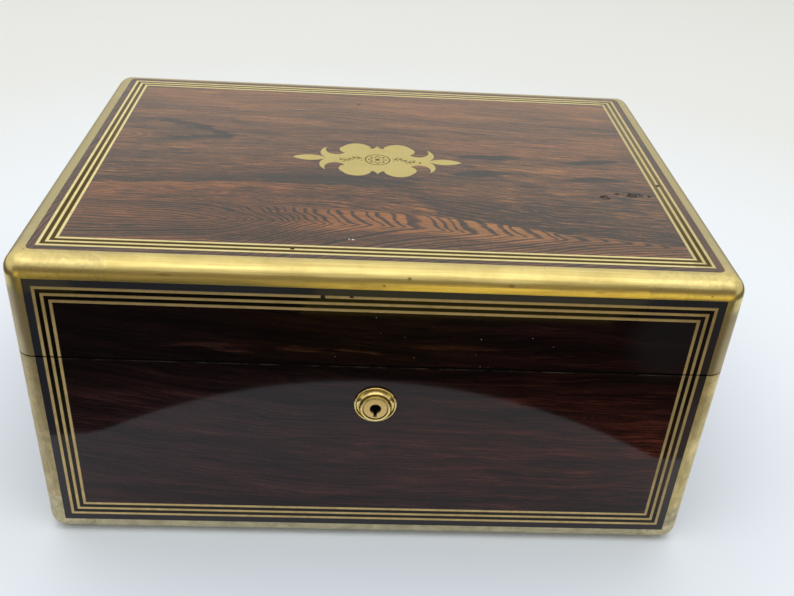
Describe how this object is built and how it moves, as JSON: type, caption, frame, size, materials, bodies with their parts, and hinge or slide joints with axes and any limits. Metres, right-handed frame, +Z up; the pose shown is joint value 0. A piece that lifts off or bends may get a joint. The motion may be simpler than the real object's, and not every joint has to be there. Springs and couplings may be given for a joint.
{
  "type": "glove box",
  "caption": "Rectangular rosewood box bound in rounded brass, with brass stringing, an inlaid cartouche, a raised round lock and a lid hinged at the back.",
  "frame": {"origin": "centre of the underside of the box, without the lock's raised ring and the hinge barrels", "axes": "+Z up, +X along the box's length to the right as seen from the lock side, +Y to the hinged back"},
  "size_m": [0.3, 0.2238, 0.148],
  "materials": {
    "rosewood": "french polish",
    "carcase_wood": "planed",
    "brass": "polished, lacquer worn",
    "steel": "filed",
    "velvet": "velvet",
    "satin": "satin",
    "baize": "baize"
  },
  "bodies": {
    "base": {"base_back_board": "carcase_wood", "base_back_lining": "velvet", "base_back_veneer": "rosewood", "base_baize": "baize", "base_bottom_board": "carcase_wood", "base_brass_corners": "brass", "base_brass_strips": "brass", "base_brass_uprights": "brass", "base_floor_pad": "velvet", "base_front_board": "carcase_wood", "base_front_lining": "velvet", "base_front_stringing": "brass", "base_front_veneer": "rosewood", "base_left_board": "carcase_wood", "base_left_lining": "velvet", "base_left_veneer": "rosewood", "base_right_board": "carcase_wood", "base_right_lining": "velvet", "base_right_veneer": "rosewood", "base_rim_facings": "rosewood", "hinge_base_leaves": "brass", "hinge_base_screws": "brass", "hinge_pins": "steel", "lock_case": "brass", "lock_cover": "brass", "lock_cover_screws": "brass", "lock_escutcheon": "brass", "lock_plate_screws": "brass"},
    "lid": {"hinge_lid_leaves": "brass", "hinge_lid_screws": "brass", "lid_back_board": "carcase_wood", "lid_back_lining": "velvet", "lid_back_veneer": "rosewood", "lid_brass_corners": "brass", "lid_brass_strips": "brass", "lid_cartouche": "brass", "lid_front_board": "carcase_wood", "lid_front_lining": "velvet", "lid_front_stringing": "brass", "lid_front_veneer": "rosewood", "lid_left_board": "carcase_wood", "lid_left_lining": "velvet", "lid_left_veneer": "rosewood", "lid_pad": "satin", "lid_right_board": "carcase_wood", "lid_right_lining": "velvet", "lid_right_veneer": "rosewood", "lid_rim_facings": "rosewood", "lid_top_board": "carcase_wood", "lid_top_stringing": "brass", "lid_top_veneer": "rosewood", "link_plate": "brass", "link_plate_screws": "brass"},
    "lock_cylinder": {"lock_cylinder": "brass"},
    "lock_bolt": {"lock_bolt": "steel"}
  },
  "joints": [
    {"name": "lid_hinge", "type": "hinge", "parent": "base", "child": "lid", "pos_m": [0, 0.1085, 0.10185], "axis": [-1, 0, 0], "range_deg": [0, 95]},
    {"name": "key_turn", "type": "hinge", "parent": "base", "child": "lock_cylinder", "pos_m": [0, -0.1085, 0.0816], "axis": [0, 1, 0], "range_deg": [0, 90]},
    {"name": "bolt_slide", "type": "slide", "parent": "base", "child": "lock_bolt", "axis": [1, 0, 0], "range_m": [0, 0.00453]}
  ],
  "couplings": [
    {"joint": "key_turn", "follows": "bolt_slide", "rad_per_m": 347.1}
  ]
}
